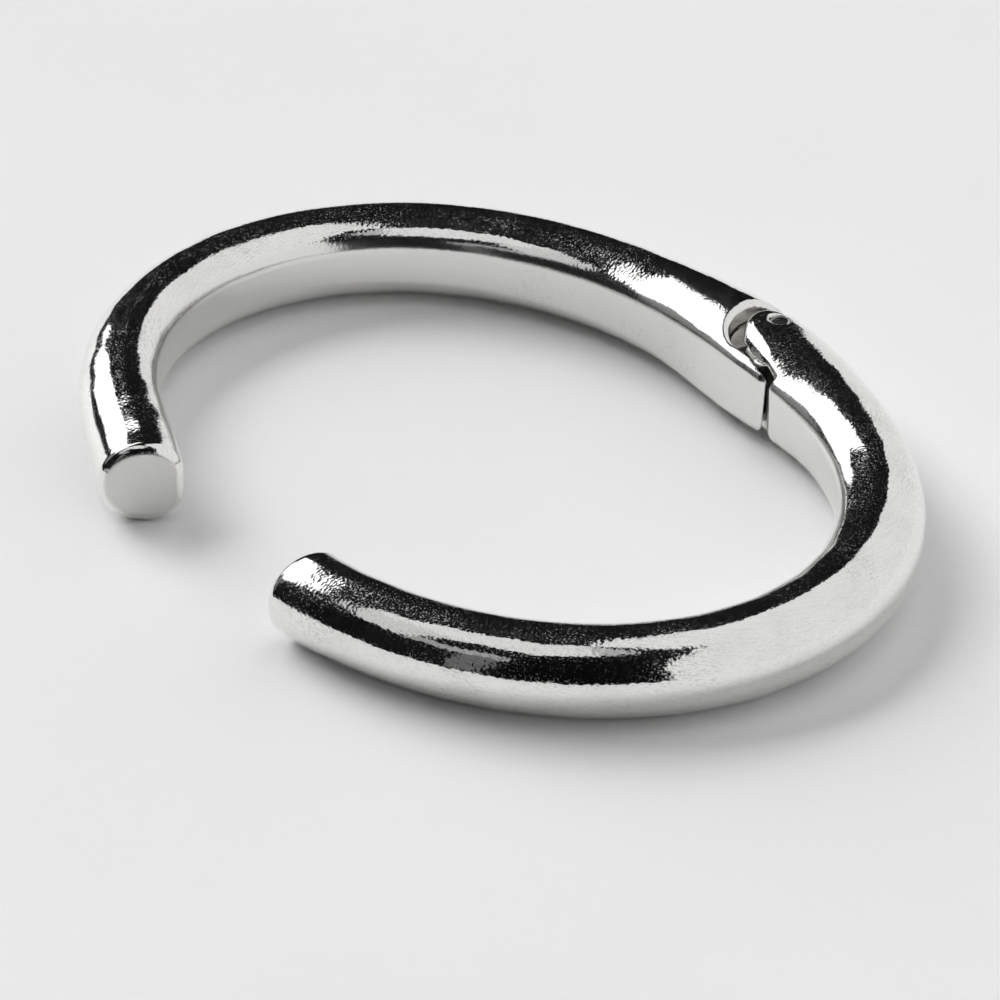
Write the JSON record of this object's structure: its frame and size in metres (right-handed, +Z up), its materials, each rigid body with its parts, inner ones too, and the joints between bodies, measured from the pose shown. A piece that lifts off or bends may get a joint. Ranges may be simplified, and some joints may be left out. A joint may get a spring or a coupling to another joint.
{
  "type": "hinged open bangle bracelet",
  "caption": "Oval open bangle in polished metal, with a flat inner face, plain flat tips and a sprung hinge opposite the gap.",
  "frame": {"origin": "centre of the bangle's outline in plan, on the plane that it lies on", "axes": "+X along the long axis towards the front arm, +Y towards the hinge, +Z up out of the plane that it lies on"},
  "size_m": [0.072, 0.0534, 0.0074],
  "materials": {
    "polished_silver": "mirror-polished silver plate over brass, with fine rubbing marks",
    "hinge_metal": "plated but unpolished cast metal",
    "pin_metal": "drawn rod with trimmed and plated ends",
    "spring_wire": "drawn spring wire"
  },
  "bodies": {
    "back_arm_body": {"back_arm": "polished_silver", "hinge_tongue": "hinge_metal", "torsion_spring": "spring_wire"},
    "front_arm_body": {"front_arm": "polished_silver", "hinge_pin": "pin_metal"}
  },
  "joints": [
    {"name": "hinge_swing", "type": "hinge", "parent": "back_arm_body", "child": "front_arm_body", "pos_m": [0.00313, 0.02366, 0], "axis": [0, 0, 1], "range_deg": [0, 30], "stiffness_Nm_per_rad": 0.08, "springref_deg": -34.38, "deforming": ["torsion_spring"]}
  ]
}
